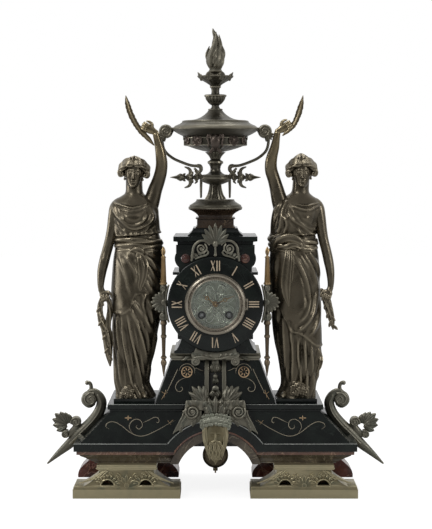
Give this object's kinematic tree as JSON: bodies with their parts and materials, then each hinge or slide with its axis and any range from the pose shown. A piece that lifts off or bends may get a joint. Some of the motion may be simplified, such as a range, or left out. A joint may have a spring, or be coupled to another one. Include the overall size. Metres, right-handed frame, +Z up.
{
  "type": "pendulum clock",
  "caption": "Figural mantel clock with a roman chapter ring, glazed bezel, visible pendulum bob in an arched base, draped figures and a covered urn.",
  "frame": {"origin": "on the floor under the middle of the clock", "axes": "+Z up, the dial faces -Y, +X to the right of a person who faces the dial"},
  "size_m": [0.5074, 0.208, 0.682],
  "materials": {
    "black_slate": "polished",
    "red_marble": "polished",
    "brown_marble": "polished",
    "foot_bronze": "aged bronze, satin",
    "mount_bronze": "grey-green patina, satin",
    "figure_bronze": "dark brown patina, satin",
    "arm_bronze": "rubbed patina, satin",
    "gilt_bronze": "worn gilding",
    "movement_brass": "lacquered brass",
    "silvered_dial": "silvered, tarnished",
    "movement_steel": "polished steel",
    "glass": "clear"
  },
  "bodies": {
    "case": {"front_foot_left": "foot_bronze", "front_foot_right": "foot_bronze", "rear_feet": "red_marble", "base_moulding": "brown_marble", "base_red_slab": "red_marble", "base_block": "black_slate", "base_top_slab": "black_slate", "figure_plinths": "black_slate", "side_scroll_left": "mount_bronze", "side_scroll_right": "mount_bronze", "arch_mask": "mount_bronze", "strap_mount": "mount_bronze", "pedestal": "black_slate", "pedestal_cap": "mount_bronze", "dial_case": "black_slate", "consoles": "black_slate", "console_bosses": "red_marble", "cornice": "black_slate", "attic_block": "black_slate", "attic_plinth": "brown_marble", "chapter_ring": "black_slate", "dial_plate": "silvered_dial", "crest_mount": "mount_bronze", "torch_left": "gilt_bronze", "torch_right": "gilt_bronze", "urn_foot": "mount_bronze", "urn_handles": "mount_bronze", "urn_bowl": "mount_bronze", "urn_lid": "mount_bronze", "flame_finial": "figure_bronze", "figure_left": "figure_bronze", "figure_right": "figure_bronze", "raised_arm_left": "arm_bronze", "raised_arm_right": "arm_bronze", "front_plate": "movement_brass", "back_plate": "movement_brass", "plate_pillars": "movement_brass", "back_brackets": "movement_brass", "bell": "movement_steel"},
    "centre": {"minute_hand": "gilt_bronze", "centre_wheel": "movement_brass"},
    "hour": {"hour_hand": "gilt_bronze", "hour_wheel": "movement_brass"},
    "motion": {"minute_wheel": "movement_brass"},
    "intermediate": {"intermediate_wheel": "movement_brass"},
    "going": {"going_barrel": "movement_brass"},
    "third": {"third_wheel": "movement_brass"},
    "escape": {"escape_wheel": "movement_brass"},
    "pendulum": {"pendulum_rod": "movement_brass", "pendulum_bob": "movement_brass"},
    "pallets": {"pallet_arbor": "movement_steel"},
    "nut": {"rating_nut": "movement_brass"},
    "striking": {"strike_barrel": "movement_brass"},
    "pin": {"pin_wheel": "movement_brass"},
    "hammer": {"hammer": "movement_steel"},
    "going_arbor": {"going_winding_arbor": "movement_steel"},
    "strike_arbor": {"strike_winding_arbor": "movement_steel"},
    "bezel": {"bezel": "movement_brass", "bezel_glass": "glass"},
    "back_door": {"back_door": "movement_brass"}
  },
  "joints": [
    {"name": "minute_turn", "type": "hinge", "parent": "case", "child": "centre", "pos_m": [0, -0.04, 0.278], "axis": [0, 1, 0], "continuous": true},
    {"name": "hour_turn", "type": "hinge", "parent": "case", "child": "hour", "pos_m": [0, -0.04, 0.278], "axis": [0, 1, 0], "continuous": true},
    {"name": "motion_wheel_turn", "type": "hinge", "parent": "case", "child": "motion", "pos_m": [0, -0.04, 0.266], "axis": [0, 1, 0], "continuous": true},
    {"name": "intermediate_turn", "type": "hinge", "parent": "case", "child": "intermediate", "pos_m": [0.01371, -0.04, 0.28085], "axis": [0, 1, 0], "continuous": true},
    {"name": "going_barrel_turn", "type": "hinge", "parent": "case", "child": "going", "pos_m": [0.0198, -0.04, 0.2618], "axis": [0, 1, 0], "continuous": true},
    {"name": "third_turn", "type": "hinge", "parent": "case", "child": "third", "pos_m": [-0.00754, -0.04, 0.28884], "axis": [0, 1, 0], "continuous": true},
    {"name": "escape_turn", "type": "hinge", "parent": "case", "child": "escape", "pos_m": [0, -0.04, 0.296], "axis": [0, 1, 0], "continuous": true},
    {"name": "pendulum_swing", "type": "hinge", "parent": "case", "child": "pendulum", "pos_m": [0, -0.006, 0.309], "axis": [0, 1, 0], "range_deg": [-3, 3]},
    {"name": "pallet_rock", "type": "hinge", "parent": "case", "child": "pallets", "pos_m": [0, -0.04, 0.309], "axis": [0, 1, 0], "range_deg": [-3, 3]},
    {"name": "rating_nut_turn", "type": "hinge", "parent": "pendulum", "child": "nut", "pos_m": [0, -0.006, 0.0215], "axis": [0, 0, 1], "continuous": true},
    {"name": "strike_barrel_turn", "type": "hinge", "parent": "case", "child": "striking", "pos_m": [-0.0198, -0.04, 0.2618], "axis": [0, 1, 0], "continuous": true},
    {"name": "pin_wheel_turn", "type": "hinge", "parent": "case", "child": "pin", "pos_m": [-0.03266, -0.04, 0.27712], "axis": [0, 1, 0], "continuous": true},
    {"name": "hammer_swing", "type": "hinge", "parent": "case", "child": "hammer", "pos_m": [-0.03, -0.04, 0.292], "axis": [0, 1, 0], "range_deg": [-10, 2]},
    {"name": "going_winding_turn", "type": "hinge", "parent": "case", "child": "going_arbor", "pos_m": [0.0198, -0.04, 0.2618], "axis": [0, 1, 0], "continuous": true},
    {"name": "strike_winding_turn", "type": "hinge", "parent": "case", "child": "strike_arbor", "pos_m": [-0.0198, -0.04, 0.2618], "axis": [0, 1, 0], "continuous": true},
    {"name": "bezel_swing", "type": "hinge", "parent": "case", "child": "bezel", "pos_m": [0.0459, -0.0737, 0.278], "axis": [0, 0, 1], "range_deg": [0, 110]},
    {"name": "back_door_swing", "type": "hinge", "parent": "case", "child": "back_door", "pos_m": [-0.0495, 0.0524, 0.278], "axis": [0, 0, 1], "range_deg": [0, 110]}
  ],
  "couplings": [
    {"joint": "hour_turn", "follows": "minute_turn", "ratio": 0.083333},
    {"joint": "motion_wheel_turn", "follows": "minute_turn", "ratio": -0.33333},
    {"joint": "intermediate_turn", "follows": "minute_turn", "ratio": -0.16667},
    {"joint": "going_barrel_turn", "follows": "minute_turn", "ratio": 0.02381},
    {"joint": "third_turn", "follows": "minute_turn", "ratio": -10},
    {"joint": "escape_turn", "follows": "minute_turn", "ratio": 90},
    {"joint": "pallet_rock", "follows": "pendulum_swing", "ratio": 1},
    {"joint": "pin_wheel_turn", "follows": "strike_barrel_turn", "ratio": -7}
  ]
}
